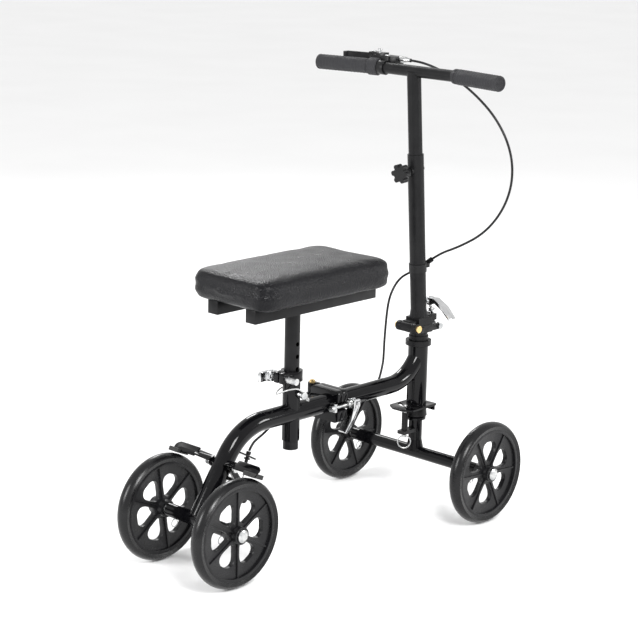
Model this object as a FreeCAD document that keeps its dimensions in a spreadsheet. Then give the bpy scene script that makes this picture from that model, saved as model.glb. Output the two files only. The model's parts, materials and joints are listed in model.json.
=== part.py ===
import FreeCAD, Part
import math
import os

# Steerable knee scooter.  Frame: X forward, Y to the rider's left, Z up, millimetres.
# Origin: on the floor, half way between the two axles, in the middle plane.

V = FreeCAD.Vector
AX, AY, AZ = V(1, 0, 0), V(0, 1, 0), V(0, 0, 1)
BOTH = (1, -1)

doc = FreeCAD.newDocument("KneeScooter")
sheet = doc.addObject("Spreadsheet::Sheet", "dims")

DRIVING = {
    "wheel_radius": 100, "tyre_width": 27, "rim_radius": 86, "half_wheelbase": 294,
    "rear_half_track": 96.4, "front_half_track": 182.6, "hub_radius": 16, "hub_length": 35,
    "bearing_radius": 11, "bearing_width": 7, "bore_clearance": 0.05, "axle_bolt_radius": 4,
    "axle_tube_radius": 12.5, "rear_axle_half": 74, "front_axle_half": 161, "cap_radius": 11.5,
    "spine_height": 251.5, "rear_tube_radius": 18, "front_tube_radius": 17, "tube_wall": 2,
    "rear_bend_radius": 109, "front_bend_radius": 90,
    "hinge_face": 50, "hinge_offset": 52, "knuckle_radius": 9, "hinge_pin_radius": 4,
    "plate_thickness": 13.7, "front_plate_thickness": 11.7, "plate_bottom": 216, "plate_top": 278,
    "clamp_offset": 27, "clamp_height": 248, "clamp_rod_radius": 3,
    "head_tube_radius": 19.75, "head_tube_top": 318, "steerer_radius": 13.5,
    "stem_hinge_x": 264, "stem_hinge_height": 360, "stem_lean": 4.55, "stem_outer_radius": 15.75,
    "stem_inner_radius": 13.5, "handlebar_radius": 11, "handlebar_height": 859, "grip_radius": 14.8,
    "post_x": -60.5, "post_radius": 14.3, "sleeve_radius": 16.5, "sleeve_bottom": 200, "sleeve_top": 332,
    "hole_pitch": 23.5, "rail_bottom": 455.5, "rail_size": 25, "rail_offset": 48,
    "pad_rear": -228, "pad_front": 105, "pad_half_width": 94, "pad_top": 533,
    "pivot_x": -236, "pivot_height": 189, "cable_radius": 2.4, "lanyard_radius": 1.5,
}


class Size(float):
    """A length from the sheet that remembers its own expression."""

    def __new__(cls, value, text):
        size = super().__new__(cls, value)
        size.text = text
        return size

    def joined(self, sign, other, value):
        right = other.text if isinstance(other, Size) else repr(float(other))
        return Size(value, f"({self.text} {sign} {right})")

    def __add__(self, other):
        return self.joined("+", other, float(self) + float(other))

    def __sub__(self, other):
        return self.joined("-", other, float(self) - float(other))

    def __mul__(self, other):
        return self.joined("*", other, float(self) * float(other))

    def __truediv__(self, other):
        return self.joined("/", other, float(self) / float(other))


class Dimensions:
    """The driving dimensions, each readable by its alias."""


dim = Dimensions()
for row, (alias, number) in enumerate(DRIVING.items(), start=1):
    sheet.set(f"A{row}", alias.replace("_", " "))
    sheet.set(f"B{row}", str(number))
    sheet.setAlias(f"B{row}", alias)
    setattr(dim, alias, Size(number, f"dims.{alias}"))
doc.recompute()


# ---------------------------------------------------------------- building blocks

def bind(obj, prop, size):
    """Tie a property to the sheet, or set it where the size isn't a driving one."""
    if isinstance(size, Size):
        obj.setExpression(prop, size.text)
    else:
        setattr(obj, prop, float(size))


def rod(radius, start, end):
    """Round bar from start to end."""
    obj = doc.addObject("Part::Cylinder", "rod")
    run = V(*end) - V(*start)
    bind(obj, "Radius", radius)
    bind(obj, "Height", run.Length)
    obj.Placement = FreeCAD.Placement(V(*start), FreeCAD.Rotation(AZ, run))
    return obj


def cone(low_radius, high_radius, start, end):
    """Tapered bar from start to end."""
    obj = doc.addObject("Part::Cone", "cone")
    run = V(*end) - V(*start)
    bind(obj, "Radius1", low_radius)
    bind(obj, "Radius2", high_radius)
    bind(obj, "Height", run.Length)
    obj.Placement = FreeCAD.Placement(V(*start), FreeCAD.Rotation(AZ, run))
    return obj


def hoop(big, small, centre, axis):
    """Ring of round wire."""
    obj = doc.addObject("Part::Torus", "hoop")
    bind(obj, "Radius1", big)
    bind(obj, "Radius2", small)
    obj.Placement = FreeCAD.Placement(V(*centre), FreeCAD.Rotation(AZ, axis))
    return obj


def block(x_range, y_range, z_range):
    """Upright box between two values on each axis."""
    obj = doc.addObject("Part::Box", "block")
    for prop, (low, high) in zip(("Length", "Width", "Height"), (x_range, y_range, z_range)):
        bind(obj, prop, high - low)
    obj.Placement.Base = V(x_range[0], y_range[0], z_range[0])
    return obj


def bar(start, end, across, width, thickness):
    """Flat bar from start to end, its width along the direction across."""
    obj = doc.addObject("Part::Box", "bar")
    run = V(*end) - V(*start)
    side = V(across)
    bind(obj, "Length", run.Length)
    bind(obj, "Width", width)
    bind(obj, "Height", thickness)
    turn = FreeCAD.Rotation(run, side, run.cross(side), "XYZ")
    corner = V(*start) - turn.multVec(V(0, width / 2, thickness / 2))
    obj.Placement = FreeCAD.Placement(corner, turn)
    return obj


def fuse(*parts):
    obj = doc.addObject("Part::MultiFuse", "fused")
    obj.Shapes = list(parts)
    return obj


def cut(base, *tools):
    obj = doc.addObject("Part::Cut", "cut")
    obj.Base = base
    obj.Tool = tools[0] if len(tools) == 1 else fuse(*tools)
    return obj


def tube(outer, inner, start, end):
    """Straight tube, bored right through."""
    run = (V(*end) - V(*start)).normalize()
    return cut(rod(outer, start, end), rod(inner, V(*start) - run, V(*end) + run))


def copied(source, place, turn):
    """The same piece again, somewhere else."""
    obj = doc.addObject("Part::Compound", "copy")
    obj.Links = [source]
    obj.Placement = FreeCAD.Placement(V(*place), turn)
    return obj


def outline(points, radius):
    """Closed outline in the XY plane as lines and arcs, with one corner radius or one for each point."""
    corners = [V(x, y, 0) for x, y in points]
    radii = radius if isinstance(radius, list) else [radius] * len(points)
    starts, arcs, ends = [], [], []
    for i, (corner, bend) in enumerate(zip(corners, radii)):
        back = (corners[i - 1] - corner).normalize()
        on = (corners[(i + 1) % len(corners)] - corner).normalize()
        half = back.getAngle(on) / 2
        reach = bend / math.tan(half)
        centre = corner + (back + on).normalize() * (bend / math.sin(half))
        middle = centre + (corner - centre).normalize() * bend
        starts.append(corner + back * reach)
        ends.append(corner + on * reach)
        arcs.append(Part.Arc(starts[-1], middle, ends[-1]))
    lines = [Part.LineSegment(ends[i - 1], starts[i]) for i in range(len(corners))]
    return [piece for pair in zip(lines, arcs) for piece in pair]


def plate(name, plane, offset, points, radius, thickness):
    """Flat plate: a rounded outline on an origin plane, padded to its thickness."""
    body = doc.addObject("PartDesign::Body", name + "_blank")
    sketch = body.newObject("Sketcher::SketchObject", name + "_outline")
    support = next(f for f in body.Origin.OriginFeatures if f.Role == plane)
    sketch.AttachmentSupport = (support, [""])
    sketch.MapMode = "FlatFace"
    sketch.AttachmentOffset = FreeCAD.Placement(V(0, 0, offset), FreeCAD.Rotation())
    sketch.addGeometry(outline(points, radius), False)
    pad = body.newObject("PartDesign::Pad", name + "_pad")
    pad.Profile = sketch
    bind(pad, "Length", thickness)
    body.Tip = pad
    return body


def route(points, bends):
    """Straight runs joined by tangent arcs, one bend radius for each inner point."""
    knots = [V(*p) for p in points]
    edges, here = [], knots[0]
    for corner, back_to, on_to, radius in zip(knots[1:-1], knots, knots[2:], bends):
        back = (back_to - corner).normalize()
        on = (on_to - corner).normalize()
        half = back.getAngle(on) / 2
        reach = radius / math.tan(half)
        centre = corner + (back + on).normalize() * (radius / math.sin(half))
        middle = centre + (corner - centre).normalize() * radius
        start, end = corner + back * reach, corner + on * reach
        edges += [Part.LineSegment(here, start).toShape(), Part.Arc(start, middle, end).toShape()]
        here = end
    edges.append(Part.LineSegment(here, knots[-1]).toShape())
    return Part.Wire(edges)


def swept(points, bends, radius):
    """Round section carried along a route, as a solid."""
    wire = route(points, bends)
    start = V(*points[0])
    ahead = V(*points[1]) - start
    section = Part.Wire([Part.makeCircle(radius, start, ahead)])
    return wire, wire.makePipeShell([section], True, False)


def bent(name, points, bends, outer, inner=None):
    """Bent tube or bar."""
    obj = doc.addObject("Part::Feature", name)
    shape = swept(points, bends, outer)[1]
    if inner:
        shape = shape.cut(swept(points, bends, inner)[1])
    obj.Shape = shape
    return obj


def coil(name, centre, axis, radius, length, turns, wire):
    """Coil spring."""
    obj = doc.addObject("Part::Feature", name)
    helix = Part.makeHelix(length / turns, length, radius)
    section = Part.Wire([Part.makeCircle(wire, V(radius, 0, 0), AY)])
    obj.Shape = Part.Wire(helix).makePipeShell([section], True, True)
    obj.Placement = FreeCAD.Placement(V(*centre), FreeCAD.Rotation(AZ, axis))
    return obj


NODES = []


def node(label, obj):
    """Name a finished piece; the name is also its file."""
    obj.Label = label
    NODES.append(obj)
    return obj


# ---------------------------------------------------------------- wheels and axles

def wheel_blank():
    """Six-spoke wheel about the Y axis: rim, web with teardrop openings, ribs and hub."""
    half = dim.hub_length / 2
    opening_tools = []
    ribs = []
    for k in range(6):
        spoke = math.radians(60 * k)
        gap = math.radians(60 * k + 30)
        one_side = [(21, 0.17, 4.5), (25, 0.29, 8), (46, 0.405, 25), (57, 0.35, 11.5), (63, 0.17, 14)]
        corners = [(r, -a) for r, a, _ in one_side] + [(r, a) for r, a, _ in reversed(one_side)]
        points = [(r * math.cos(gap + a), r * math.sin(gap + a)) for r, a in corners]
        bends = [bend for _, _, bend in one_side]
        opening_tools.append(plate(f"opening_{k}", "XZ_Plane", -12, points, bends + bends[::-1], 24))
        tip = V(math.cos(spoke) * 81, 0, math.sin(spoke) * 81)
        root = V(math.cos(spoke) * 12, 0, math.sin(spoke) * 12)
        ribs.append(bar(root, tip, AY, 16, 3))
    web = cut(rod(80, (0, -5, 0), (0, 5, 0)), *opening_tools)
    rim = cut(rod(dim.rim_radius, (0, -11, 0), (0, 11, 0)), rod(80, (0, -12, 0), (0, 12, 0)))
    hub = rod(dim.hub_radius, (0, -half, 0), (0, half, 0))
    bore = rod(dim.bearing_radius + dim.bore_clearance, (0, -20, 0), (0, 20, 0))
    return cut(fuse(rim, web, hub, *ribs), bore)


def tyre_blank():
    """Rounded tyre about the Y axis."""
    half = dim.tyre_width / 2
    shoulder = dim.wheel_radius - 7
    rim = dim.rim_radius
    corners = [V(rim, -11, 0), V(shoulder, -half, 0), V(shoulder, half, 0), V(rim, 11, 0)]
    crown = Part.Arc(corners[1], V(dim.wheel_radius, 0, 0), corners[2]).toShape()
    sides = [Part.LineSegment(corners[i], corners[i + 1]).toShape() for i in (0, 2)]
    base = Part.LineSegment(corners[3], corners[0]).toShape()
    profile = doc.addObject("Part::Feature", "tyre_profile")
    profile.Shape = Part.Face(Part.Wire([sides[0], crown, sides[1], base]))
    obj = doc.addObject("Part::Revolution", "tyre_blank")
    obj.Source = profile
    obj.Axis = AY
    obj.Angle = 360
    obj.Solid = True
    return obj


def axle_group(end_name, x, half_track, tube_half):
    """Cross tube, bolts with caps and lock rings, and the four wheel bearings."""
    z = dim.wheel_radius
    bolts, bearings, bores = [], [], []
    for s in BOTH:
        def at(y, drop=0):
            return V(x, s * y, z - drop)
        inner, outer = half_track - 17, half_track + 17
        bores.append(rod(dim.axle_bolt_radius, at(tube_half - 20), at(tube_half + 1)))
        bolts.append(fuse(
            rod(dim.axle_bolt_radius, at(tube_half - 20), at(outer + 2)),
            rod(7, at(tube_half), at(inner)),
            rod(6, at(outer), at(outer + 1.5)),
            rod(dim.cap_radius, at(outer + 1.2), at(outer + 3.5)),
            cone(dim.cap_radius, 8, at(outer + 3.5), at(outer + 5.5))))
        ring_y = tube_half - 13
        bolts.append(fuse(rod(1.5, at(ring_y, 12.5), at(ring_y, 15.5)), hoop(7, 0.9, at(ring_y, 22), AY)))
        for start in (inner, outer - dim.bearing_width):
            bearings.append(tube(dim.bearing_radius, dim.axle_bolt_radius,
                                 at(start), at(start + dim.bearing_width)))
    full = rod(dim.axle_tube_radius, (x, -tube_half, z), (x, tube_half, z))
    hollow = rod(dim.axle_tube_radius - 2.5, (x, 20 - tube_half, z), (x, tube_half - 20, z))
    node(end_name + "_axle_fasteners", fuse(*bolts))
    node(end_name + "_wheel_bearings", fuse(*bearings))
    return node(end_name + "_axle_tube", cut(full, hollow, *bores))


wheel_master = wheel_blank()
tyre_master = tyre_blank()
WHEELS = (
    ("rear_left", -dim.half_wheelbase, dim.rear_half_track, 38),
    ("rear_right", -dim.half_wheelbase, -dim.rear_half_track, 30),
    ("front_left", dim.half_wheelbase, dim.front_half_track, 51),
    ("front_right", dim.half_wheelbase, -dim.front_half_track, -4),
)
for corner_name, wheel_x, wheel_y, spoke_angle in WHEELS:
    wheel_turn = FreeCAD.Rotation(AY, -spoke_angle)
    wheel_place = (wheel_x, wheel_y, dim.wheel_radius)
    node(corner_name + "_wheel", copied(wheel_master, wheel_place, wheel_turn))
    node(corner_name + "_tyre", copied(tyre_master, wheel_place, wheel_turn))

REAR_X, FRONT_X = -float(dim.half_wheelbase), float(dim.half_wheelbase)
AXLE_Z, SPINE_Z = float(dim.wheel_radius), float(dim.spine_height)
rear_axle = axle_group("rear", REAR_X, dim.rear_half_track, dim.rear_axle_half)
front_axle = axle_group("front", FRONT_X, dim.front_half_track, dim.front_axle_half)


# ---------------------------------------------------------------- frame fold hinge

HINGE_Y = float(dim.hinge_offset)
FACE_X = float(dim.hinge_face)
CLAMP_Y, CLAMP_Z = -float(dim.clamp_offset), float(dim.clamp_height)
FLANGE = [(-28, dim.plate_bottom), (42.7, dim.plate_bottom), (42.7, dim.plate_top), (-28, dim.plate_top)]
MID_Z = 246.5


def hinge_flange(name, start, thickness, z_low, z_high, bridge):
    """One welded flange with its knuckle round the fold pin and its open clamp slot."""
    blank = plate(name, "YZ_Plane", start, FLANGE, 8, thickness)
    knuckle = rod(dim.knuckle_radius, (FACE_X, HINGE_Y, z_low), (FACE_X, HINGE_Y, z_high))
    link = block(bridge, (40, HINGE_Y), (z_low, z_high))
    pin_hole = rod(dim.hinge_pin_radius, (FACE_X, HINGE_Y, z_low - 1), (FACE_X, HINGE_Y, z_high + 1))
    slot = block((start - 1, start + thickness + 1), (-29, -19.5), (CLAMP_Z - 8.5, CLAMP_Z + 8.5))
    return cut(fuse(blank, knuckle, link), pin_hole, slot)


rear_flange = node("rear_hinge_plate", hinge_flange(
    "rear_flange", FACE_X - 0.3 - dim.plate_thickness, dim.plate_thickness, 216, MID_Z - 0.2, (41, 49.7)))
front_flange = node("front_hinge_plate", cut(
    hinge_flange("front_flange", FACE_X + 0.3, dim.front_plate_thickness, MID_Z + 0.2, 278, (50.3, 59)),
    rod(dim.hinge_pin_radius + 0.05, (FACE_X, HINGE_Y, 200), (FACE_X, HINGE_Y, 290))))
node("frame_hinge_pin", fuse(
    rod(dim.hinge_pin_radius, (FACE_X, HINGE_Y, 212), (FACE_X, HINGE_Y, 282)),
    rod(6.5, (FACE_X, HINGE_Y, 211), (FACE_X, HINGE_Y, 215.9)),
    rod(6, (FACE_X, HINGE_Y, 278.4), (FACE_X, HINGE_Y, 281)),
    cone(6, 3.5, (FACE_X, HINGE_Y, 281), (FACE_X, HINGE_Y, 283.5))))

CAM_X = 82.0
node("frame_clamp_rod", fuse(
    rod(dim.clamp_rod_radius, (20, CLAMP_Y, CLAMP_Z), (CAM_X, CLAMP_Y, CLAMP_Z)),
    rod(4.25, (30, CLAMP_Y, CLAMP_Z - 8), (30, CLAMP_Y, CLAMP_Z + 8)),
    rod(5.5, (18, CLAMP_Y, CLAMP_Z), (25, CLAMP_Y, CLAMP_Z)),
    rod(7, (62.1, CLAMP_Y, CLAMP_Z), (67, CLAMP_Y, CLAMP_Z)),
    rod(5, (CAM_X, CLAMP_Y - 3.2, CLAMP_Z), (CAM_X, CLAMP_Y + 3.2, CLAMP_Z)),
    rod(2.5, (CAM_X, CLAMP_Y - 9.6, CLAMP_Z), (CAM_X, CLAMP_Y + 9.3, CLAMP_Z))))


def cam_lever(name, plane, offset, width, points, radius, pivot, axis, gap):
    """Cam lever: a padded outline, forked round the eye of its bolt and bored for the pivot."""
    blank = plate(name, plane, offset, points, radius, width)
    bore = rod(2.55, V(*pivot) - axis * 20, V(*pivot) + axis * 20)
    return node(name, cut(blank, gap, bore))


cam_lever("frame_clamp_lever", "XZ_Plane", -CLAMP_Y - 9, 18,
          [(90, 256), (90, 242), (83, 230), (72, 211), (55, 194),
           (49, 197), (66, 217), (73, 240), (74, 256)], 2,
          (CAM_X, CLAMP_Y, CLAMP_Z), AY,
          block((72, 92), (CLAMP_Y - 3.4, CLAMP_Y + 3.4), (CLAMP_Z - 10, CLAMP_Z + 10)))


# ---------------------------------------------------------------- rear frame

POST_X = float(dim.post_x)
PIVOT = V(dim.pivot_x, 0, dim.pivot_height)


def beside(y, place=PIVOT):
    """A place moved sideways."""
    return V(place.x, y, place.z)


rear_path = [(REAR_X, 0, AXLE_Z), (-191.5, 0, SPINE_Z), (36, 0, SPINE_Z)]
rear_raw = bent("rear_tube_blank", rear_path, [dim.rear_bend_radius],
                dim.rear_tube_radius, dim.rear_tube_radius - dim.tube_wall)
sleeve_core = rod(dim.sleeve_radius, (POST_X, 0, 190), (POST_X, 0, 332))
axle_core = rod(dim.axle_tube_radius, (REAR_X, -40, AXLE_Z), (REAR_X, 40, AXLE_Z))
tab = cut(bar((-193, 0, 204), (-158, 0, 184.4), AY, 16, 3),
          rod(3.2, (-164, 0, 210), (-180, 0, 170)), rod(16.5, (REAR_X, 0, AXLE_Z), (-191.5, 0, SPINE_Z)))
node("rear_main_tube", cut(
    fuse(cut(rear_raw, sleeve_core, axle_core, rod(3, beside(-30), beside(30))),
         cut(tab, rod(17, (-215, 0, 216.8), (-150, 0, 251.5)))), block((-340, -306), (-30, 30), (60, 120))))

seat_bore = rod(dim.post_radius + 0.1, (POST_X, 0, 190), (POST_X, 0, 340))
PIN_Z = 291.0
pin_bore = rod(3.05, (POST_X, -30, PIN_Z), (POST_X, -13, PIN_Z))
node("seat_sleeve", cut(
    fuse(rod(dim.sleeve_radius, (POST_X, 0, dim.sleeve_bottom), (POST_X, 0, dim.sleeve_top)),
         rod(6, (POST_X, -22, PIN_Z), (POST_X, -14.6, PIN_Z))),
    seat_bore, pin_bore, block((-80, -65), (-1, 1), (300, 340))))

EAR_X, EAR_Z = -85.0, 322.0
node("seat_collar", cut(
    fuse(rod(20.5, (POST_X, 0, 314), (POST_X, 0, 334)), block((-95, -74), (-12, 12), (314, 334))),
    rod(dim.sleeve_radius, (POST_X, 0, 313), (POST_X, 0, 332)),
    rod(dim.post_radius + 0.1, (POST_X, 0, 313), (POST_X, 0, 335)),
    block((-96, -70), (-1.5, 1.5), (313, 335)),
    rod(3, (EAR_X, -13, EAR_Z), (EAR_X, 13, EAR_Z))))
CAM_Y = 27.0
node("seat_clamp_bolt", fuse(
    rod(3, (EAR_X, -20, EAR_Z), (EAR_X, CAM_Y, EAR_Z)),
    rod(6.25, (EAR_X, -37, EAR_Z), (EAR_X, -12, EAR_Z)),
    rod(5, (EAR_X, CAM_Y, EAR_Z - 3.2), (EAR_X, CAM_Y, EAR_Z + 3.2)),
    rod(7, (EAR_X, 12, EAR_Z), (EAR_X, 15, EAR_Z)),
    rod(2.5, (EAR_X, CAM_Y, EAR_Z - 10), (EAR_X, CAM_Y, EAR_Z + 10))))
cam_lever("seat_clamp_lever", "XY_Plane", EAR_Z - 9, 18,
          [(-77, 20), (-77, 34), (-92, 37), (-112, 37), (-116, 32), (-112, 29), (-96, 29), (-94, 20)], 1.8,
          (EAR_X, CAM_Y, EAR_Z), AZ,
          block((-94.5, -76), (17, 36), (EAR_Z - 3.4, EAR_Z + 3.4)))
node("seat_lock_pin", fuse(
    rod(3, (POST_X, -14.6, PIN_Z), (POST_X, -30, PIN_Z)),
    cone(6.5, 5, (POST_X, -22.3, PIN_Z), (POST_X, -30, PIN_Z)),
    rod(7, (POST_X, -30, PIN_Z), (POST_X, -34, PIN_Z))))

pivot_parts = [rod(3, beside(-36), beside(36))]
for s in BOTH:
    pivot_parts += [rod(5.5, beside(s * 33), beside(s * 37)), rod(5, beside(s * 18.2), beside(s * 19.8))]
node("brake_pivot_bolt", fuse(*pivot_parts))
node("brake_return_spring", coil("return_coil", beside(27.8), AY, 4.4, 4.6, 3, 0.7))
node("rear_cable_adjuster", cut(
    fuse(rod(3.2, (-168, 0, 200), (-177, 0, 177.5)), rod(5.5, (-172.4, 0, 189), (-173.6, 0, 186)),
         rod(4.5, (-168, 0, 200), (-170.2, 0, 194.5))),
    rod(2.4, (-167.2, 0, 202), (-178, 0, 175))))


# ---------------------------------------------------------------- rear brake

tyre_side = V(0.394, 0, 0.919)
plate_normal = V(-0.498, 0, 0.867)
yoke_parts, shoes = [], []
for s in BOTH:
    yoke_parts += [
        rod(7, beside(s * 20), beside(s * 27)),
        bar(beside(s * 23.5), (-240, s * 23.5, 200), AY, 5, 12),
        bar((-240, s * 21.5, 198), (-248, s * 52, 204), AX, 19, 4),
        bar((-257.7, s * 74, 200), (-240.3, s * 74, 210), AY, 47, 3),
        rod(10, V(-249, s * 97.5, 205) - plate_normal * 1.5, V(-249, s * 97.5, 205) + plate_normal * 1.5),
        bar(beside(s * 23.5), (-216, s * 23.5, 159), AY, 5, 12),
    ]
    shoe_centre = V(REAR_X, s * 96.4, AXLE_Z) + tyre_side * 106.2
    tangent = V(tyre_side.z, 0, -tyre_side.x)
    shoe = bar(shoe_centre - tangent * 14, shoe_centre + tangent * 14, AY, 24, 8)
    plate_space = bar((-262, s * 79, 197.5), (-236, s * 79, 212.5), AY, 60, 3.2)
    shoes.append(cut(shoe, plate_space, block((-270, -230), (-120, 120), (206, 230))))
yoke_parts += [
    rod(4, (-216, -26, 159), (-216, 26, 159)),
    bar((-216, -8, 159), (-193, -8, 120), AY, 5, 12),
    rod(8, (-192, -14, 118), (-192, 2, 118)),
    rod(0.9, (-192, 0, 118), (-175.5, 0, 182)),
]
node("brake_yoke", cut(fuse(*yoke_parts), rod(3.05, beside(-40), beside(40))))
node("brake_shoes", fuse(*shoes))


# ---------------------------------------------------------------- front frame and headset

front_path = [(62, 0, SPINE_Z), (257, 0, SPINE_Z), (FRONT_X + 2, 0, 298)]
front_raw = bent("front_tube_blank", front_path, [dim.front_bend_radius],
                 dim.front_tube_radius, dim.front_tube_radius - dim.tube_wall)
HEAD_X = 296.0


def head(z):
    """A point on the steering axis."""
    return V(HEAD_X, 0, z)


node("front_main_tube", cut(front_raw, rod(dim.head_tube_radius, head(190), head(330))))
node("head_tube", tube(dim.head_tube_radius, 17, head(199), head(dim.head_tube_top)))
steerer_bore = rod(dim.steerer_radius + 0.07, head(170), head(335))
node("headset_cups", cut(fuse(
    rod(25.5, head(320), head(330)), cone(20, 25.5, head(318), head(320)), rod(17, head(306), head(318)),
    cone(22, 19.75, head(176), head(195)), rod(17, head(195), head(208))), steerer_bore))

PLUNGER_X = 263.0
plate_corners = [(238, -12), (250, -30), (326, -30), (326, 30), (250, 30), (238, 12)]
blank = plate("steering_plate", "XY_Plane", 195, plate_corners, 6, 4)
lip = block((322, 326), (-24, 24), (184, 199))
slot_ring = cut(rod(37, head(190), head(205)), rod(29, head(189), head(206)))
slot_wedge = doc.addObject("Part::Cylinder", "slot_wedge")
slot_wedge.Radius = 45
slot_wedge.Height = 20
slot_wedge.Angle = 84
slot_wedge.Placement = FreeCAD.Placement(head(188), FreeCAD.Rotation(AZ, 180 - 42))
slot = doc.addObject("Part::Common", "slot")
slot.Base = slot_ring
slot.Tool = slot_wedge
slot_ends = [rod(4, V(HEAD_X - 33 * math.cos(a), 33 * math.sin(a), 190),
                 V(HEAD_X - 33 * math.cos(a), 33 * math.sin(a), 205)) for a in map(math.radians, (-42, 42))]
node("steering_plate", cut(fuse(blank, lip), rod(17, head(190), head(205)), slot, *slot_ends))


# ---------------------------------------------------------------- steering column

node("steerer_tube", cut(
    fuse(rod(dim.steerer_radius, head(AXLE_Z), head(345)), cone(20, 17, head(172), head(175.7)),
         rod(20, head(168), head(172)), cone(18, dim.steerer_radius, head(104), head(126))),
    rod(11, head(125), head(346)),
    rod(dim.axle_tube_radius, (FRONT_X, -60, AXLE_Z), (FRONT_X, 60, AXLE_Z)),
    block((260, 330), (-40, 40), (80, AXLE_Z))))


def plunger(z):
    """A point on the plunger's axis."""
    return V(PLUNGER_X, 0, z)


node("plunger_housing", cut(
    fuse(rod(6.25, plunger(150), plunger(186)), block((252, 290), (-9, 9), (143, 150))),
    rod(5.1, plunger(152), plunger(184)), rod(3.75, plunger(140), plunger(190)),
    rod(dim.steerer_radius, head(140), head(155))))
node("plunger_spring", coil("plunger_coil", plunger(152.6), AZ, 4.42, 26.6, 8, 0.5))
node("steering_plunger", fuse(
    rod(3.7, plunger(135), plunger(200)), cone(3.7, 2.7, plunger(200), plunger(201.5)),
    rod(4.95, plunger(180), plunger(183.6)), hoop(12.75, 1.25, plunger(125.5), V(1, 1, 0))))
node("headset_locknut", cut(
    fuse(rod(19.5, head(330.3), head(339)), rod(17.5, head(339), head(345))),
    rod(dim.steerer_radius, head(330), head(346))))

HINGE_X, HINGE_Z = float(dim.stem_hinge_x), float(dim.stem_hinge_height)
LUG_X, LUG_Z = 345.0, 351.0
head_parts = [block((276, 318), (-17, 17), (345, 361))]
for s in BOTH:
    low, high = sorted((s * 13, s * 25))
    head_parts += [
        rod(10, (HINGE_X, low, HINGE_Z), (HINGE_X, high, HINGE_Z)),
        block((HINGE_X, 284), (low, high), (350, 360)),
        block((312, LUG_X), sorted((s * 8, s * 13)), (345, 357)),
        rod(6, (LUG_X, s * 8, LUG_Z), (LUG_X, s * 13, LUG_Z)),
    ]
node("column_head", cut(
    fuse(*head_parts), rod(dim.hinge_pin_radius, (HINGE_X, -30, HINGE_Z), (HINGE_X, 30, HINGE_Z)),
    rod(4, (LUG_X, -20, LUG_Z), (LUG_X, 20, LUG_Z))))
node("stem_pins", fuse(
    rod(dim.hinge_pin_radius, (HINGE_X, -27, HINGE_Z), (HINGE_X, 27, HINGE_Z)),
    rod(7, (HINGE_X, -29, HINGE_Z), (HINGE_X, -25, HINGE_Z)),
    rod(7, (HINGE_X, 25, HINGE_Z), (HINGE_X, 29, HINGE_Z)),
    rod(4, (LUG_X, -16, LUG_Z), (LUG_X, 16, LUG_Z)),
    rod(6, (LUG_X, -16, LUG_Z), (LUG_X, -13, LUG_Z)),
    rod(6, (LUG_X, 13, LUG_Z), (LUG_X, 16, LUG_Z))))


# ---------------------------------------------------------------- stem and its clamp

LEAN = math.radians(dim.stem_lean)
UP = V(-math.sin(LEAN), 0, math.cos(LEAN))
BACK = V(-math.cos(LEAN), 0, -math.sin(LEAN))


def stem(z):
    """A point on the leaning stem axis at height z."""
    return V(292 - (z - 406) * math.tan(LEAN), 0, z)


KNOB_Z = 670.0
knob_axis = stem(KNOB_Z)
foot = fuse(
    block((276, 318), (-17, 17), (361.3, 377)), block((HINGE_X - 2, 280), (-12.7, 12.7), (362, 372)),
    rod(10, (HINGE_X, -12.7, HINGE_Z), (HINGE_X, 12.7, HINGE_Z)), block((312, 335), (-12, 12), (366, 378)),
    cone(18.5, dim.stem_outer_radius, stem(377), stem(392)),
    rod(dim.stem_outer_radius, stem(370), stem(700)),
    rod(8, knob_axis + BACK * 10, knob_axis + BACK * 19),
    rod(6, knob_axis - BACK * 10, knob_axis - BACK * 18.5))
node("lower_stem", cut(
    foot, rod(dim.stem_inner_radius + 0.08, stem(382), stem(702)),
    rod(dim.hinge_pin_radius + 0.05, (HINGE_X, -14, HINGE_Z), (HINGE_X, 14, HINGE_Z)),
    block((325, 336), (-4.3, 4.3), (365, 379)),
    rod(4.08, knob_axis + BACK * 12, knob_axis + BACK * 20)))
node("height_knob", fuse(
    rod(4, knob_axis + BACK * 14.2, knob_axis + BACK * 34),
    cone(6, 9, knob_axis + BACK * 19.4, knob_axis + BACK * 36),
    rod(13, knob_axis + BACK * 36, knob_axis + BACK * 50),
    *[rod(5, knob_axis + BACK * 36 + FreeCAD.Rotation(BACK, 60 * k).multVec(AY) * 14,
          knob_axis + BACK * 50 + FreeCAD.Rotation(BACK, 60 * k).multVec(AY) * 14) for k in range(6)]))
node("cable_clip", fuse(
    tube(17.6, dim.stem_outer_radius, stem(468), stem(484)),
    cut(fuse(rod(5, (308.4, -4.6, 482.7), (309.6, -15.4, 491.3)), block((298, 306), (-14, -6), (476, 484))),
        rod(3.2, (308, -0.6, 479.5), (310, -19.4, 494.5)), rod(dim.stem_outer_radius, stem(460), stem(500)))))

lug = V(LUG_X, 0, LUG_Z)
cam = V(325, 0, 404)
ROD_RUN = (cam - lug).normalize()
node("stem_clamp_bolt", cut(
    fuse(rod(7, (LUG_X, -7.5, LUG_Z), (LUG_X, 7.5, LUG_Z)), rod(3, lug, cam),
         rod(7, lug + ROD_RUN * 35.5, lug + ROD_RUN * 37.5),
         rod(6, lug + ROD_RUN * 37.5, lug + ROD_RUN * 42.6),
         rod(5, cam - AX * 3.2, cam + AX * 3.2), rod(2.5, cam - AX * 10, cam + AX * 10)),
    rod(4.05, (LUG_X, -20, LUG_Z), (LUG_X, 20, LUG_Z))))
cam_lever("stem_clamp_lever", "YZ_Plane", cam.x - 9, 18,
          [(8, cam.z - 7), (8, cam.z + 7), (-18, cam.z + 7), (-42, cam.z - 6), (-62, cam.z - 27),
           (-58, cam.z - 30), (-38, cam.z - 12), (-20, cam.z - 2), (-9, cam.z - 7)], 1.5,
          cam, AX, block((cam.x - 4, cam.x + 7.4), (-9, 9), (cam.z - 10, cam.z + 10)))


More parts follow.
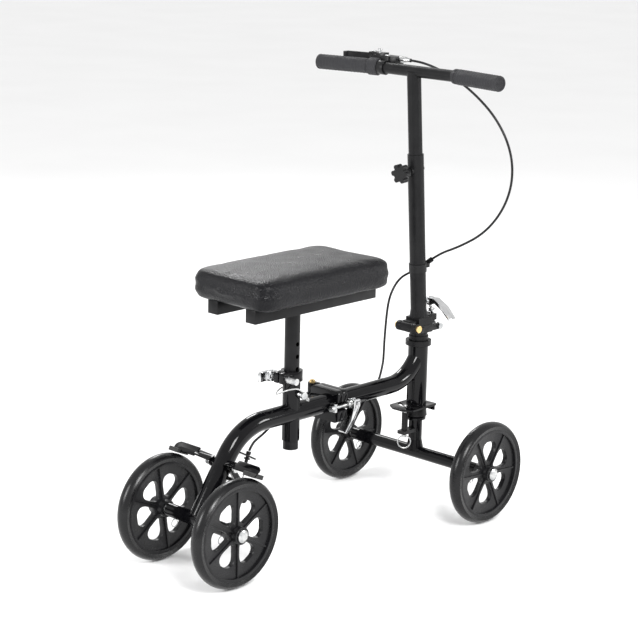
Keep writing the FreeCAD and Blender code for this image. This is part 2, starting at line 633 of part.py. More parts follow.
# ---------------------------------------------------------------- handlebar

BAR_X, BAR_Z = 257.0, float(dim.handlebar_height)
sweep = V(-26, 137, 0).normalize()
bar_turn = V(BAR_X, 95, BAR_Z)


def along_grip(side, distance):
    """A point on the swept end of the bar, measured from its bend."""
    place = bar_turn + sweep * distance
    return V(place.x, side * place.y, place.z)


bar_path = [along_grip(-1, 127), along_grip(-1, 0), along_grip(1, 0), along_grip(1, 127)]
bar_raw = bent("bar_blank", bar_path, [60, 60], dim.handlebar_radius, dim.handlebar_radius - dim.tube_wall)
node("handlebar_tube", bar_raw)
bar_core = rod(dim.handlebar_radius, (BAR_X, -40, BAR_Z), (BAR_X, 40, BAR_Z))
inner_low = stem(540)
inner_high = stem(BAR_Z)
inner_hollow = rod(dim.stem_inner_radius - 2, inner_low - UP, inner_high - UP * 8)
node("stem_inner_tube", cut(rod(dim.stem_inner_radius, inner_low, inner_high), bar_core, inner_hollow))

grips = []
for s in BOTH:
    collar = (rod(17, along_grip(s, 7), along_grip(s, 15)) if s > 0
              else cone(12.5, dim.grip_radius, along_grip(s, 4), along_grip(s, 14)))
    grips.append(cut(
        fuse(collar, rod(dim.grip_radius, along_grip(s, 13), along_grip(s, 128)),
             cone(dim.grip_radius, 9, along_grip(s, 128), along_grip(s, 133))),
        rod(dim.handlebar_radius, along_grip(s, 0), along_grip(s, 127))))
node("handlebar_grips", fuse(*grips))

LEVER = V(281, 124, 873)
bracket = fuse(
    tube(13.8, dim.handlebar_radius, (BAR_X, 71, BAR_Z), (BAR_X, 88, BAR_Z)),
    block((266, 290), (56, 114), (866, 880)), block((266, 290), (94, 106), (878, 884)),
    block((273, 289), (108, 131), (862, 867.7)), block((273, 289), (108, 131), (878.3, 884)),
    block((262, 276), (71, 88), (858, 880)), rod(3, LEVER - AZ * 12, LEVER + AZ * 12),
    rod(5, (280, 57, 875), (280, 40, 875)), rod(3.6, (280, 40, 875), (280, 29, 875)))
node("brake_lever_bracket", cut(
    bracket, rod(dim.handlebar_radius, (BAR_X, 50, BAR_Z), (BAR_X, 89, BAR_Z)),
    rod(2.55, (271, 100, 871), (271, 100, 890)),
    rod(1.2, (280, 60, 875), (280, 28, 875)),
    rod(17.3, along_grip(1, 4), along_grip(1, 40))))
blade = fuse(
    rod(7, LEVER - AZ * 5, LEVER + AZ * 5),
    bar((283, 120, 873), (297, 150, 873), AZ, 9.6, 6),
    bar((296, 147, 873), (292, 205, 872), AZ, 12, 6),
    rod(6, (291, 207, 865), (291, 207, 877)))
node("brake_lever", cut(blade, rod(3.05, LEVER - AZ * 12, LEVER + AZ * 12)))
node("brake_lock_pin", fuse(
    rod(2.5, (271, 100, 876), (271, 100, 890)), rod(4.5, (271, 100, 888.6), (271, 100, 893))))


# ---------------------------------------------------------------- seat

RAIL_Z = float(dim.rail_bottom)
rail_top = RAIL_Z + float(dim.rail_size)
POST_TOP = RAIL_Z
post_tools = [rod(dim.post_radius - 2, (POST_X, 0, 180), (POST_X, 0, POST_TOP - 3))]
for k in range(6):
    hole_z = 384.5 - dim.hole_pitch * k
    post_tools.append(rod(4.2, (POST_X, -20, hole_z), (POST_X, -8, hole_z)))
bracket_plate = block((-104, -18), (-35.5, 35.5), (POST_TOP, POST_TOP + 5))
gussets = [block(span, (-2, 2), (POST_TOP - 14, POST_TOP)) for span in ((-98, -75.5), (-45.5, -23))]
node("seat_post", fuse(
    cut(rod(dim.post_radius, (POST_X, 0, 183), (POST_X, 0, POST_TOP)), *post_tools), bracket_plate, *gussets))

rails = []
for s in BOTH:
    y = float(dim.rail_offset) * s
    half = dim.rail_size / 2
    rails.append(cut(
        block((-216, 98), (y - half, y + half), (RAIL_Z, rail_top)),
        block((-212, 94), (y - half + 2, y + half - 2), (RAIL_Z + 2, rail_top - 2))))
node("seat_rails", fuse(*rails))


def cushion():
    """Knee pad: a rounded block with soft top edges and a flat top."""
    corners = [(dim.pad_rear, -dim.pad_half_width), (dim.pad_front, -dim.pad_half_width),
               (dim.pad_front, dim.pad_half_width), (dim.pad_rear, dim.pad_half_width)]
    body = plate("pad", "XY_Plane", rail_top, corners, 24, dim.pad_top - rail_top)
    doc.recompute()
    tip = body.Tip
    top = [f"Edge{i}" for i, edge in enumerate(tip.Shape.Edges, start=1)
           if edge.BoundBox.ZMin > dim.pad_top - 1]
    round_over = body.newObject("PartDesign::Fillet", "pad_round")
    round_over.Base = (tip, top)
    round_over.Radius = 18
    body.Tip = round_over
    return body


node("knee_pad", cushion())


# ---------------------------------------------------------------- brake cable and lanyard

def cord(name, points, radius):
    """Cord along its route; each bend is as large as its two runs allow."""
    knots = [V(*p) for p in points]
    bends = []
    for before, corner, after in zip(knots, knots[1:], knots[2:]):
        turn = (corner - before).getAngle(after - corner)
        shorter = min((corner - before).Length, (after - corner).Length)
        bends.append(0.45 * shorter / math.tan(turn / 2))
    wire, solid = swept(points, bends, radius)
    obj = doc.addObject("Part::Feature", name)
    obj.Shape = solid
    ratio = solid.Volume / (math.pi * radius ** 2 * wire.Length)
    print(f"{name}: length {wire.Length:.1f} mm, volume ratio {ratio:.4f}, "
          f"radii {', '.join(f'{b:.0f}' for b in bends)}")
    return node(name, obj)


LOOP = [(280, 28.8, 875), (280, 6, 875), (286, -34, 865), (299, -78, 844), (308, -118, 816), (315, -153, 783),
        (320, -180, 742), (322, -194, 697), (322, -191, 648), (320, -170, 600), (317, -132, 557),
        (314, -78, 525), (311.2, -32, 504.6), (309, -10, 487)]
STEM_RUN = [(309, -10, 487), (307.2, 8, 472.6), (296, 26, 461), (270, 31, 452), (248, 31, 431), (237, 32, 402),
            (235, 33, 366)]
COLUMN_RUN = [(235, 33, 366), (233.2, 33.9, 333.6), (234, 35, 306), (230, 33, 284), (219, 29, 267)]
FRAME_RUN = [(219, 29, 267), (208, 25, 250), (190, 25, 243), (160, 34, 245), (122, 50, 250), (85, 66, 253),
             (44, 69, 252), (4, 60, 250), (-34, 42, 246), (-64, 27, 239), (-96, 16, 230), (-124, 6, 224),
             (-146, 0, 220), (-160, 0, 213), (-167.6, 0, 200.9)]
LANYARD = [(-63, -32, 298.2), (-72, -31, 306), (-84, -24, 306), (-90, -10, 300), (-92, 4, 292), (-86, 16, 288),
           (-74, 22, 292), (-60, 24, 296), (-44, 20, 293), (-34, 8, 286), (-31, -8, 280), (-36, -22, 276),
           (-47, -31, 277), (-56, -34.5, 283)]
cord("brake_cable_upper", LOOP, dim.cable_radius)
cord("brake_cable_stem", STEM_RUN, dim.cable_radius)
cord("brake_cable_column", COLUMN_RUN, dim.cable_radius)
cord("brake_cable_frame", FRAME_RUN, dim.cable_radius)
cord("seat_pin_lanyard", LANYARD, dim.lanyard_radius)


# ---------------------------------------------------------------- checks and export

doc.recompute()
failed = [obj.Name for obj in doc.Objects if {"Invalid", "Error"} & set(obj.State)]
failed += [obj.Label for obj in NODES if obj.Shape.isNull() or not obj.Shape.isValid()]
if failed:
    raise SystemExit(f"failed objects: {failed}")
if len({obj.Label for obj in NODES}) != len(NODES):
    raise SystemExit("two pieces share a name")

os.makedirs("parts", exist_ok=True)
for obj in NODES:
    obj.Shape.exportStep(f"parts/{obj.Label}.step")
print(len(NODES), "nodes written")
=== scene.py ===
import json
import math

import bmesh
import bpy
from mathutils import Matrix, Vector


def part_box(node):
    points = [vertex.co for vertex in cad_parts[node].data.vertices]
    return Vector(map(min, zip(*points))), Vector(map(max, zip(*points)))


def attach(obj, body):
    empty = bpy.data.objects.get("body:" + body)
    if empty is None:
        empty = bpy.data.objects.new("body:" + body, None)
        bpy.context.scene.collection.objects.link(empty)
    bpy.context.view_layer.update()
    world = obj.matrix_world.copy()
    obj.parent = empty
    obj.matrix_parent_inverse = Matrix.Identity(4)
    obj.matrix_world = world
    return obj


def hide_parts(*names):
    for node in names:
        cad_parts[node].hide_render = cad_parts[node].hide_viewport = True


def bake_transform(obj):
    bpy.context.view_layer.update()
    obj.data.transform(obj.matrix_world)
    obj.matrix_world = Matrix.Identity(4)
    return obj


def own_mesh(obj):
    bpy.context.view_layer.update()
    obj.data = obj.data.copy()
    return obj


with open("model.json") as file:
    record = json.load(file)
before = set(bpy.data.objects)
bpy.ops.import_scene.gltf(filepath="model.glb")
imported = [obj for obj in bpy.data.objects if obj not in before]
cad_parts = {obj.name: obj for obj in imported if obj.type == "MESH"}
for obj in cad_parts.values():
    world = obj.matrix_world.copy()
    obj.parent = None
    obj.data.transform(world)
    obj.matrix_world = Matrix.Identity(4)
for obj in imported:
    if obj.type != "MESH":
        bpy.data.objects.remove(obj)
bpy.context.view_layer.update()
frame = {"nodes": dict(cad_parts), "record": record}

NODES = frame["nodes"]
RECORD = frame["record"]
BODY_OF = {node: body
           for body, names in RECORD["behaviour"]["bodies"].items() for node in names}
SLOT_OF = {entry["node"]: entry["material_slot"] for entry in RECORD["subparts"]}


# ---------------------------------------------------------------- camera

VIEW_DIRECTION = 43.29            # degrees, the way the camera looks, from +X towards +Y
VIEW_DROP = 13.95                 # degrees below level
VIEW_ROLL = 1.25                  # degrees
VIEW_AIM = Vector((0, 0, 0.1))
VIEW_DISTANCE = 3.607             # metres back from the aim
VIEW_SHIFT = (0.01322, 0.31008)   # metres along the picture's own right and up
LENS, SENSOR = 107.8, 36          # millimetres


def make_camera():
    """Long lens from the rear right, about 1.27 metres above the floor."""
    azimuth, drop, roll = (math.radians(value)
                           for value in (VIEW_DIRECTION, VIEW_DROP, VIEW_ROLL))
    ahead = Vector((math.cos(azimuth) * math.cos(drop), math.sin(azimuth) * math.cos(drop),
                    -math.sin(drop)))
    right = Vector((math.sin(azimuth), -math.cos(azimuth), 0))
    up = right.cross(ahead)
    rolled_right = right * math.cos(roll) + up * math.sin(roll)
    rolled_up = up * math.cos(roll) - right * math.sin(roll)
    data = bpy.data.cameras.new("camera")
    data.lens = LENS
    data.sensor_width = SENSOR
    camera = bpy.data.objects.new("camera", data)
    bpy.context.scene.collection.objects.link(camera)
    turn = Matrix((rolled_right, rolled_up, -ahead)).transposed()
    spot = (VIEW_AIM - ahead * VIEW_DISTANCE + rolled_right * VIEW_SHIFT[0]
            + rolled_up * VIEW_SHIFT[1])
    camera.matrix_world = Matrix.Translation(spot) @ turn.to_4x4()
    bpy.context.scene.camera = camera


make_camera()


# ---------------------------------------------------------------- materials

def new_material(name):
    mat = bpy.data.materials.new(name)
    mat.use_nodes = True
    nodes, links = mat.node_tree.nodes, mat.node_tree.links
    shader = nodes["Principled BSDF"]
    place = nodes.new("ShaderNodeTexCoord").outputs["Object"]
    return mat, nodes, links, shader, place


def noise(nodes, links, place, scale, detail=3.0, stretch=None):
    """Fine mottling; scale is in repeats per metre."""
    tex = nodes.new("ShaderNodeTexNoise")
    tex.inputs["Scale"].default_value = scale
    tex.inputs["Detail"].default_value = detail
    if stretch:
        mapping = nodes.new("ShaderNodeMapping")
        mapping.inputs["Scale"].default_value = stretch
        links.new(place, mapping.inputs["Vector"])
        place = mapping.outputs["Vector"]
    links.new(place, tex.inputs["Vector"])
    return tex.outputs["Fac"]


def ramp(nodes, links, source, low, high, start=0.3, end=0.7):
    """Map a 0 to 1 value onto two colours or two greys."""
    node = nodes.new("ShaderNodeValToRGB")
    node.color_ramp.elements[0].position = start
    node.color_ramp.elements[1].position = end
    for element, value in zip(node.color_ramp.elements, (low, high)):
        element.color = (*value, 1) if isinstance(value, tuple) else (value, value, value, 1)
    links.new(source, node.inputs["Fac"])
    return node.outputs["Color"]


def add_bump(nodes, links, shader, height, distance, strength=1.0, before=None):
    node = nodes.new("ShaderNodeBump")
    node.inputs["Distance"].default_value = distance
    node.inputs["Strength"].default_value = strength
    links.new(height, node.inputs["Height"])
    if before:
        links.new(before, node.inputs["Normal"])
    links.new(node.outputs["Normal"], shader.inputs["Normal"])
    return node.outputs["Normal"]


def surface(name, dark, light, smooth, rough, metal=0.0, coat=0.0, grain=1200.0, depth=0.00004,
            mottle=35.0, gloss=0.3):
    """Mottled colour and roughness over a fine grain: paint, metal, plastic and rubber."""
    mat, nodes, links, shader, place = new_material(name)
    broad = noise(nodes, links, place, mottle, 5.0)
    links.new(ramp(nodes, links, broad, dark, light), shader.inputs["Base Color"])
    links.new(ramp(nodes, links, noise(nodes, links, place, mottle * 3, 6.0), smooth, rough),
              shader.inputs["Roughness"])
    add_bump(nodes, links, shader, noise(nodes, links, place, grain, 2.0), depth)
    shader.inputs["Metallic"].default_value = metal
    shader.inputs["Coat Weight"].default_value = coat
    shader.inputs["Specular IOR Level"].default_value = gloss
    shader.inputs["Coat Roughness"].default_value = 0.06
    return mat


def vinyl():
    """Grained upholstery vinyl: pebbled cells with soft valleys over slow, shallow creases."""
    mat, nodes, links, shader, place = new_material("pad_vinyl")
    cells = nodes.new("ShaderNodeTexVoronoi")
    cells.feature = "SMOOTH_F1"
    cells.inputs["Scale"].default_value = 430
    cells.inputs["Smoothness"].default_value = 0.3
    links.new(place, cells.inputs["Vector"])
    slow = add_bump(nodes, links, shader, noise(nodes, links, place, 30, 3.0, (1, 1, 2.2)),
                    0.0010, 0.35)
    fine = add_bump(nodes, links, shader, noise(nodes, links, place, 2200, 2.0), 0.00006, 0.7,
                    slow)
    add_bump(nodes, links, shader, cells.outputs["Distance"], 0.0007, 1.0, fine)
    links.new(ramp(nodes, links, cells.outputs["Distance"], (0.004, 0.004, 0.005),
                   (0.001, 0.001, 0.002), 0.1, 0.7), shader.inputs["Base Color"])
    links.new(ramp(nodes, links, noise(nodes, links, place, 30, 5.0), 0.26, 0.38),
              shader.inputs["Roughness"])
    shader.inputs["Specular IOR Level"].default_value = 0.18
    return mat


def math_node(nodes, links, operation, *values):
    """One math node; each value is a number or another node's output."""
    node = nodes.new("ShaderNodeMath")
    node.operation = operation
    for socket, value in zip(node.inputs, values):
        if isinstance(value, (int, float)):
            socket.default_value = value
        else:
            links.new(value, socket)
    return node.outputs["Value"]


def knurl_with_painted_shade(name, along, waves_round):
    """Grip rubber with a fine moulded diamond pattern laid out on the grip's own UV map; its
    colour is painted from the same height, with painted shade in the grooves and a painted
    highlight on the diamond tops.
    """
    mat, nodes, links, shader, place = new_material(name)
    uv = nodes.new("ShaderNodeUVMap")
    split = nodes.new("ShaderNodeSeparateXYZ")
    links.new(uv.outputs["UV"], split.inputs["Vector"])
    waves = []
    for sign in (1, -1):
        angle = math_node(nodes, links, "MULTIPLY", split.outputs["X"], sign * waves_round)
        run = math_node(nodes, links, "MULTIPLY_ADD", split.outputs["Y"], along, angle)
        waves.append(math_node(nodes, links, "SINE", run))
    height = math_node(nodes, links, "ABSOLUTE", math_node(nodes, links, "MULTIPLY", *waves))
    add_bump(nodes, links, shader, height, 0.0011, 1.0)
    # Painted shade and highlight: the grooves are coloured near black and the diamond tops grey,
    # both taken from the bump's own height.
    links.new(ramp(nodes, links, height, (0.006, 0.006, 0.007), (0.055, 0.055, 0.06), 0.1, 0.75),
              shader.inputs["Base Color"])
    links.new(ramp(nodes, links, noise(nodes, links, place, 60, 4.0), 0.55, 0.72),
              shader.inputs["Roughness"])
    shader.inputs["Specular IOR Level"].default_value = 0.3
    return mat


def two_metals(name, first, second, split_x):
    """One finish behind a plane across X and another in front of it."""
    mat, nodes, links, shader, place = new_material(name)
    split = nodes.new("ShaderNodeSeparateXYZ")
    links.new(place, split.inputs["Vector"])
    side = math_node(nodes, links, "GREATER_THAN", split.outputs["X"], split_x)
    mix = nodes.new("ShaderNodeMix")
    mix.data_type = "RGBA"
    links.new(side, mix.inputs["Factor"])
    fleck = noise(nodes, links, place, 90, 5.0)
    for socket, (dark, light) in zip(("A", "B"), (first, second)):
        target = next(s for s in mix.inputs if s.name == socket and s.type == "RGBA")
        links.new(ramp(nodes, links, fleck, dark, light), target)
    links.new(next(s for s in mix.outputs if s.type == "RGBA"), shader.inputs["Base Color"])
    links.new(ramp(nodes, links, fleck, 0.2, 0.36), shader.inputs["Roughness"])
    add_bump(nodes, links, shader, noise(nodes, links, place, 1500, 2.0), 0.00003)
    shader.inputs["Metallic"].default_value = 1.0
    return mat


BLACK = ((0.005, 0.005, 0.0055), (0.010, 0.010, 0.0105))
BRASS = ((0.66, 0.47, 0.20), (0.83, 0.63, 0.31))
ZINC = ((0.34, 0.35, 0.36), (0.60, 0.60, 0.59))
PIN_SPLIT = 0.3          # metres along X, between the stem's two pins
GRIP_DIAMOND = 0.0052    # metres along the grip from one diamond to the next
GRIP_WAVES_ROUND = 22
MATERIALS = {
    "frame_paint": surface("frame_paint", (0.0015, 0.0015, 0.002), (0.003, 0.003, 0.0035),
                           0.05, 0.11, gloss=0.19, grain=420, depth=0.00003),
    "stem_paint": surface("stem_paint", (0.004, 0.004, 0.0045), (0.008, 0.008, 0.0085),
                          0.30, 0.42, gloss=0.16, grain=900, depth=0.00006),
    "zinc": surface("zinc", *ZINC, 0.22, 0.38, metal=1.0, mottle=120, grain=1500),
    "chrome": surface("chrome", (0.42, 0.43, 0.44), (0.66, 0.66, 0.66), 0.07, 0.2, metal=1.0,
                      mottle=60),
    "brass": surface("brass", *BRASS, 0.2, 0.36, metal=1.0, mottle=120),
    "wheel_plastic": surface("wheel_plastic", (0.004, 0.004, 0.0045), (0.008, 0.008, 0.009),
                             0.24, 0.36, grain=2200, depth=0.00007, gloss=0.24),
    "tyre": surface("tyre", (0.003, 0.003, 0.0035), (0.006, 0.006, 0.0065), 0.20, 0.32,
                    grain=1600, depth=0.00006, gloss=0.26),
    "grip_rubber": knurl_with_painted_shade("grip_rubber", math.pi / GRIP_DIAMOND, GRIP_WAVES_ROUND),
    "pad_vinyl": vinyl(),
    "black_plastic": surface("black_plastic", *BLACK, 0.25, 0.42, grain=2000, depth=0.00008,
                             gloss=0.2),
    "cable_jacket": surface("cable_jacket", *BLACK, 0.25, 0.4, grain=700, gloss=0.2),
    "clear_jacket": surface("clear_jacket", (0.26, 0.27, 0.27), (0.46, 0.46, 0.45), 0.15, 0.3,
                            mottle=300, coat=0.8),
    "bearing_steel": surface("bearing_steel", (0.42, 0.42, 0.43), (0.6, 0.6, 0.6), 0.18, 0.3,
                             metal=1.0),
    "brake_pad": surface("brake_pad", (0.016, 0.016, 0.016), (0.034, 0.034, 0.034), 0.6, 0.8,
                         grain=1400, depth=0.0002),
    "pins": two_metals("pins", BRASS, ZINC, PIN_SPLIT),
}

SPECIAL = {"stem_pins": "pins"}
for node, slot_name in SLOT_OF.items():
    chosen = MATERIALS[SPECIAL.get(node, slot_name)]
    for slot in NODES[node].material_slots:
        slot.material = chosen


# ---------------------------------------------------------------- helpers for pieces

def add_object(name, mesh, body, slot_name, replaced=()):
    obj = bpy.data.objects.new(name, mesh)
    bpy.context.scene.collection.objects.link(obj)
    mesh.materials.clear()
    mesh.materials.append(MATERIALS[slot_name])
    if body:
        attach(obj, body)
    for node in replaced:
        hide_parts(node)
    return obj


def smooth_by_angle(mesh, degrees=32):
    """Smooth shading with the hard edges kept."""
    work = bmesh.new()
    work.from_mesh(mesh)
    for face in work.faces:
        face.smooth = True
    for edge in work.edges:
        edge.smooth = edge.calc_face_angle(0) < math.radians(degrees)
    work.to_mesh(mesh)
    work.free()


def softened(node, width=0.0007, segments=2):
    """The node's own shape with its sharp edges rounded."""
    name = node + "_finished"
    mesh = NODES[node].data.copy()
    mesh.name = name
    work = bmesh.new()
    work.from_mesh(mesh)
    bmesh.ops.remove_doubles(work, verts=work.verts, dist=0.000005)
    bmesh.ops.dissolve_limit(work, angle_limit=math.radians(0.6), verts=work.verts,
                             edges=work.edges)
    sharp = [edge for edge in work.edges
             if len(edge.link_faces) == 2 and edge.calc_face_angle(0) > math.radians(38)]
    bmesh.ops.bevel(work, geom=sharp, offset=width, offset_type="OFFSET", segments=segments,
                    profile=0.5, affect="EDGES", clamp_overlap=True)
    work.to_mesh(mesh)
    work.free()
    smooth_by_angle(mesh)
    add_object(name, mesh, BODY_OF[node], SLOT_OF[node], (node,))


# ---------------------------------------------------------------- cables

def cord_mesh(name, points, diameter, resolution=10):
    """Mesh tube along a smooth curve through the route."""
    curve = bpy.data.curves.new(name, "CURVE")
    curve.dimensions = "3D"
    spline = curve.splines.new("NURBS")
    spline.points.add(len(points) - 1)
    for knot, place in zip(spline.points, points):
        knot.co = (place[0] / 1000, place[1] / 1000, place[2] / 1000, 1)
    spline.order_u = 3
    spline.use_endpoint_u = True
    spline.resolution_u = resolution
    curve.bevel_depth = diameter / 2
    curve.bevel_resolution = 4
    curve.use_fill_caps = True
    temp = bpy.data.objects.new(name + "_curve", curve)
    bpy.context.scene.collection.objects.link(temp)
    mesh = bpy.data.meshes.new_from_object(temp)
    bpy.data.objects.remove(temp)
    bpy.data.curves.remove(curve)
    mesh.name = name
    for face in mesh.polygons:
        face.use_smooth = True
    return mesh


# Routes in the CAD's millimetres.
LOOP = [(280, 28.8, 875), (280, 6, 875), (286, -34, 865), (299, -78, 844), (308, -118, 816),
        (315, -153, 783), (320, -180, 742), (322, -194, 697), (322, -191, 648), (320, -170, 600),
        (317, -132, 557), (314, -78, 525), (311.2, -32, 504.6), (309, -10, 487)]
STEM_RUN = [(309, -10, 487), (307.2, 8, 472.6), (296, 26, 461), (270, 31, 452), (248, 31, 431),
            (237, 32, 402), (235, 33, 366)]
COLUMN_RUN = [(235, 33, 366), (233.2, 33.9, 333.6), (234, 35, 306), (230, 33, 284),
              (219, 29, 267)]
FRAME_RUN = [(219, 29, 267), (208, 25, 250), (190, 25, 243), (160, 34, 245), (122, 50, 250),
             (85, 66, 253), (44, 69, 252), (4, 60, 250), (-34, 42, 246), (-64, 27, 239),
             (-96, 16, 230), (-124, 6, 224), (-146, 0, 220), (-160, 0, 213),
             (-167.6, 0, 200.9)]
LANYARD = [(-63, -32, 298.2), (-72, -31, 306), (-84, -24, 306), (-90, -10, 300), (-92, 4, 292),
           (-86, 16, 288), (-74, 22, 292), (-60, 24, 296), (-44, 20, 293), (-34, 8, 286),
           (-31, -8, 280), (-36, -22, 276), (-47, -31, 277), (-56, -34.5, 283)]
CABLE_WIDTH = 0.0046     # metres
LANYARD_WIDTH = 0.0028


def make_cables():
    """The brake cable in four spans, one across each joint that it crosses, and the lanyard."""
    spans = (
        ("brake_cable_upper", LOOP, "handlebar", "stem", LOOP[0], LOOP[-1]),
        ("brake_cable_stem", STEM_RUN, "stem", "steering_column", STEM_RUN[0], STEM_RUN[-1]),
        ("brake_cable_column", COLUMN_RUN, "steering_column", "front_frame", COLUMN_RUN[0],
         COLUMN_RUN[-1]),
        ("brake_cable_frame", FRAME_RUN, "front_frame", "rear_frame", FRAME_RUN[3],
         FRAME_RUN[8]),
    )
    for node, points, first, second, start, end in spans:
        name = node + "_jacket"
        cable = add_object(name, cord_mesh(name, points, CABLE_WIDTH), None, "cable_jacket",
                           (node,))
        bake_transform(cable)
    wire = add_object("lanyard_wire", cord_mesh("lanyard_wire", LANYARD, LANYARD_WIDTH), None,
                      "clear_jacket", ("seat_pin_lanyard",))
    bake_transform(wire)


make_cables()


# ---------------------------------------------------------------- knee pad

# Lengths in metres.
PAD_EDGE = 0.009        # radius of the top and bottom edges
PAD_CORNER = 0.026      # radius of the upright corners
PAD_CUTS = 21
PAD_VOXEL = 0.005
PAD_PRESSURE = 4
PAD_FRAMES = 18
PAD_SWELL = 0.002       # the most that the simulation may move a point
PAD_CROWN = 0.0035      # rise in the middle of the top
PAD_BULGE = 0.0050      # at about mid height of the sides
PAD_TUCK = 0.004        # inwards, towards the underside
PAD_PUCKER = 0.0013     # folds at the corners


def pad_box():
    """The CAD pad's lowest corner, its middle and half its size."""
    low, high = (Vector(place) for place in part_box("knee_pad"))
    return low, (low + high) / 2, (high - low) / 2


def pad_form(edge, corner):
    """Closed block the size of the pad, with its edges and upright corners rounded."""
    _, middle, half = pad_box()
    work = bmesh.new()
    bmesh.ops.create_cube(work, size=2)
    bmesh.ops.subdivide_edges(work, edges=work.edges, cuts=PAD_CUTS, use_grid_fill=True)
    for vert in work.verts:
        level = max(abs(vert.co.x), abs(vert.co.y))
        z = vert.co.z * half.z
        share = min(1.0, max(0.0, (abs(z) - half.z + edge) / edge))
        inset = edge * (1 - math.sqrt(1 - share * share))
        bound = Vector((half.x - inset, half.y - inset)) * level
        radius = (corner - inset * 0.4) * level
        flat = Vector((vert.co.x * (half.x - inset), vert.co.y * (half.y - inset)))
        core = Vector([max(radius - b, min(b - radius, f)) for f, b in zip(flat, bound)])
        out = flat - core
        if out.length > 1e-7:
            flat = core + out.normalized() * max(abs(out.x), abs(out.y))
        vert.co = Vector((middle.x + flat.x, middle.y + flat.y, middle.z + z))
    mesh = bpy.data.meshes.new("knee_cushion")
    work.to_mesh(mesh)
    work.free()
    return mesh


def apply_all(obj):
    """Apply the object's modifiers to its mesh."""
    depsgraph = bpy.context.evaluated_depsgraph_get()
    done = bpy.data.meshes.new_from_object(obj.evaluated_get(depsgraph))
    obj.modifiers.clear()
    obj.data = done


def inflate(obj, cap):
    """Swell a closed form by cloth simulation, with a cap on how far any point moves."""
    remesh = obj.modifiers.new("even", "REMESH")
    remesh.mode = "VOXEL"
    remesh.voxel_size = PAD_VOXEL
    apply_all(obj)
    start = [vert.co.copy() for vert in obj.data.vertices]
    cloth = obj.modifiers.new("cloth", "CLOTH")
    cloth.settings.use_pressure = True
    cloth.settings.uniform_pressure_force = PAD_PRESSURE
    cloth.settings.effector_weights.gravity = 0
    scene = bpy.context.scene
    for number in range(1, PAD_FRAMES + 1):
        scene.frame_set(number)
    apply_all(obj)
    scene.frame_set(1)
    for vert, before in zip(obj.data.vertices, start):
        move = vert.co - before
        if move.length > cap:
            vert.co = before + move.normalized() * cap


def make_pad():
    """Vinyl cushion: crowned top, bulging sides, puckered corners, flat where it rests."""
    mesh = pad_form(PAD_EDGE, PAD_CORNER)
    obj = add_object("knee_cushion", mesh, "seat", "pad_vinyl", ("knee_pad",))
    inflate(obj, PAD_SWELL)
    smooth = obj.modifiers.new("round", "SUBSURF")
    smooth.levels = 1
    apply_all(obj)
    low, middle, half = pad_box()
    rest = low.z + 0.0002
    for vert in obj.data.vertices:
        across = Vector(((vert.co.x - middle.x) / half.x, (vert.co.y - middle.y) / half.y))
        height = (vert.co.z - middle.z) / half.z
        crown = max(0.0, 1 - across.x ** 4) * max(0.0, 1 - across.y ** 4)
        if height > 0:
            vert.co.z += PAD_CROWN * crown
        bulge = PAD_BULGE * max(0.0, 1 - (height + 0.05) ** 2)
        tuck = PAD_TUCK * max(0.0, -height - 0.5) ** 1.5
        near = max(0.0, abs(across.x) - 0.72) * max(0.0, abs(across.y) - 0.5) / 0.14
        wave = math.sin(height * 8.5 + 3.0 * across.x + 1.5 * across.y)
        pucker = PAD_PUCKER * min(1.0, near) * wave
        for axis in (0, 1):
            reach = abs(across[axis]) ** 6
            vert.co[axis] += math.copysign((bulge - tuck + pucker) * min(1.0, reach), across[axis])
        vert.co.z = max(vert.co.z, rest)
    for face in obj.data.polygons:
        face.use_smooth = True
    obj.data.materials.clear()
    obj.data.materials.append(MATERIALS["pad_vinyl"])


make_pad()


# ---------------------------------------------------------------- grips

def turned(name, profile, start, axis, sides=64):
    """Surface of revolution with a UV map: U is the angle in radians, V the metres along."""
    axis = axis.normalized()
    side = axis.orthogonal().normalized()
    other = axis.cross(side)
    work = bmesh.new()
    uv = work.loops.layers.uv.new("UVMap")
    rings = []
    for along, radius in profile:
        ring = []
        for k in range(sides + 1):
            angle = 2 * math.pi * k / sides
            out = side * math.cos(angle) + other * math.sin(angle)
            ring.append(work.verts.new(start + axis * along + out * radius))
        rings.append(ring)
    for i in range(len(rings) - 1):
        for k in range(sides):
            corners = ((i, k), (i, k + 1), (i + 1, k + 1), (i + 1, k))
            face = work.faces.new([rings[row][column] for row, column in corners])
            face.smooth = True
            for loop, (row, column) in zip(face.loops, corners):
                loop[uv].uv = (2 * math.pi * column / sides, profile[row][0])
    bmesh.ops.remove_doubles(work, verts=work.verts, dist=1e-6)
    bmesh.ops.recalc_face_normals(work, faces=work.faces)
    mesh = bpy.data.meshes.new(name)
    work.to_mesh(mesh)
    work.free()
    return mesh


GRIP_SWEEP = Vector((-26, 137, 0)).normalized()
GRIP_RADIUS = 0.0147     # metres
# Label, side along Y, radius of the plain collar and where it starts, in metres.
GRIPS = (("left", 1, 0.0168, -0.0055), ("right", -1, 0.0142, 0.006))


def make_grips():
    """Textured rubber grips with a plain inner collar, a step, and a rim round the end."""
    for label, side, collar, inner in GRIPS:
        axis = Vector((GRIP_SWEEP.x, side * GRIP_SWEEP.y, 0))
        bend = Vector((0.257, side * 0.095, 0.859))
        profile = [(inner, 0.0113), (inner + 0.0004, collar - 0.0012), (inner + 0.0018, collar),
                   (0.0142, collar), (0.0158, collar - 0.0014), (0.0164, 0.0134),
                   (0.0178, 0.0134), (0.019, GRIP_RADIUS - 0.0006)]
        profile += [(0.020 + 0.0036 * k, GRIP_RADIUS - (0.0004 if k % 2 else 0))
                    for k in range(30)]
        profile += [(0.1288, GRIP_RADIUS), (0.1308, 0.0143), (0.1320, 0.0132), (0.1324, 0.0120),
                    (0.1320, 0.0108), (0.1310, 0.0102), (0.1308, 0.0060), (0.1309, 0.0001)]
        name = f"grip_{label}"
        add_object(name, turned(name, profile, bend, axis), "handlebar", "grip_rubber",
                   ("handlebar_grips",))


make_grips()


# ---------------------------------------------------------------- bright parts of the hand lever

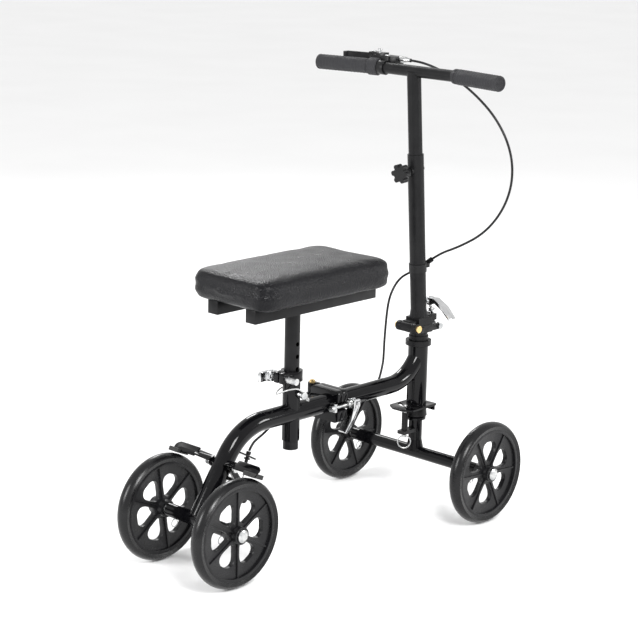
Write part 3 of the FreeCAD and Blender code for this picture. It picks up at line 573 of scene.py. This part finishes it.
def make_lever_metal():
    """Ribbed barrel adjuster at the cable's exit, and two domed screw heads on the bracket."""
    ribs = [(0.0030 + 0.0014 * k, 0.0060 if k % 2 else 0.0054) for k in range(9)]
    barrel = [(0.0, 0.0001), (0.0, 0.0052), (0.0012, 0.0058), *ribs, (0.0165, 0.0058),
              (0.0185, 0.0046), (0.0230, 0.0042), (0.0280, 0.0038), (0.0285, 0.0026)]
    screw = [(0.0, 0.0001), (0.0, 0.0046), (0.0010, 0.0048), (0.0020, 0.0040),
             (0.0024, 0.0022), (0.0016, 0.0016), (0.0016, 0.0001)]
    pieces = (("barrel_adjuster", barrel, (0.280, 0.0575, 0.875), (0, -1, 0)),
              ("pivot_screw_head", screw, (0.281, 0.124, 0.8842), (0, 0, 1)),
              ("bracket_screw_head", screw, (0.269, 0.0795, 0.8802), (0, 0, 1)))
    for name, profile, spot, axis in pieces:
        add_object(name, turned(name, profile, Vector(spot), Vector(axis), 32), "handlebar",
                   "zinc")


make_lever_metal()


# ---------------------------------------------------------------- plunger spring

def make_plunger_spring():
    """The coil's own shape, riding on the steering column."""
    mesh = NODES["plunger_spring"].data.copy()
    mesh.name = "plunger_coil"
    coil = add_object("plunger_coil", mesh, "steering_column", "zinc", ("plunger_spring",))
    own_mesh(coil)


make_plunger_spring()


# ---------------------------------------------------------------- edges of the hard parts

for node in ("rear_hinge_plate", "front_hinge_plate", "steering_plate", "seat_collar",
             "column_head", "rear_left_wheel", "rear_right_wheel", "front_left_wheel",
             "front_right_wheel", "frame_clamp_lever", "stem_clamp_lever", "seat_clamp_lever",
             "brake_yoke", "brake_lever_bracket", "seat_rails"):
    softened(node)


# ---------------------------------------------------------------- studio

# Name, place, width in metres and watts.
LIGHTS = (("key", (-1.2, -2.2, 2.4), 0.8, 95), ("side", (1.8, -2.4, 1.2), 0.5, 32),
          ("back", (1.5, 2.4, 2.2), 0.7, 30), ("rear", (-2.6, 0.8, 1.4), 0.7, 50))
LIGHT_TARGET = Vector((0, 0, 0.4))


def studio():
    """Pale floor, white surround and large soft lights."""
    bpy.ops.mesh.primitive_plane_add(size=40, location=(0, 0, -0.0005))
    floor = bpy.context.object
    floor.name = "floor"
    mat, nodes, links, shader, place = new_material("floor")
    links.new(ramp(nodes, links, noise(nodes, links, place, 2.0, 2.0), 0.86, 0.88),
              shader.inputs["Base Color"])
    shader.inputs["Roughness"].default_value = 0.9
    floor.data.materials.append(mat)
    world = bpy.data.worlds.new("surround")
    world.use_nodes = True
    background = world.node_tree.nodes["Background"]
    background.inputs["Color"].default_value = (1, 1, 1, 1)
    background.inputs["Strength"].default_value = 1.0
    bpy.context.scene.world = world
    for name, spot, width, watts in LIGHTS:
        data = bpy.data.lights.new(name, "AREA")
        data.shape = "RECTANGLE"
        data.size = width
        data.size_y = width * 1.4
        data.energy = watts
        light = bpy.data.objects.new(name, data)
        bpy.context.scene.collection.objects.link(light)
        light.location = spot
        light.rotation_euler = (LIGHT_TARGET - Vector(spot)).to_track_quat("-Z", "Y").to_euler()


studio()
bpy.context.scene.view_settings.view_transform = "Standard"
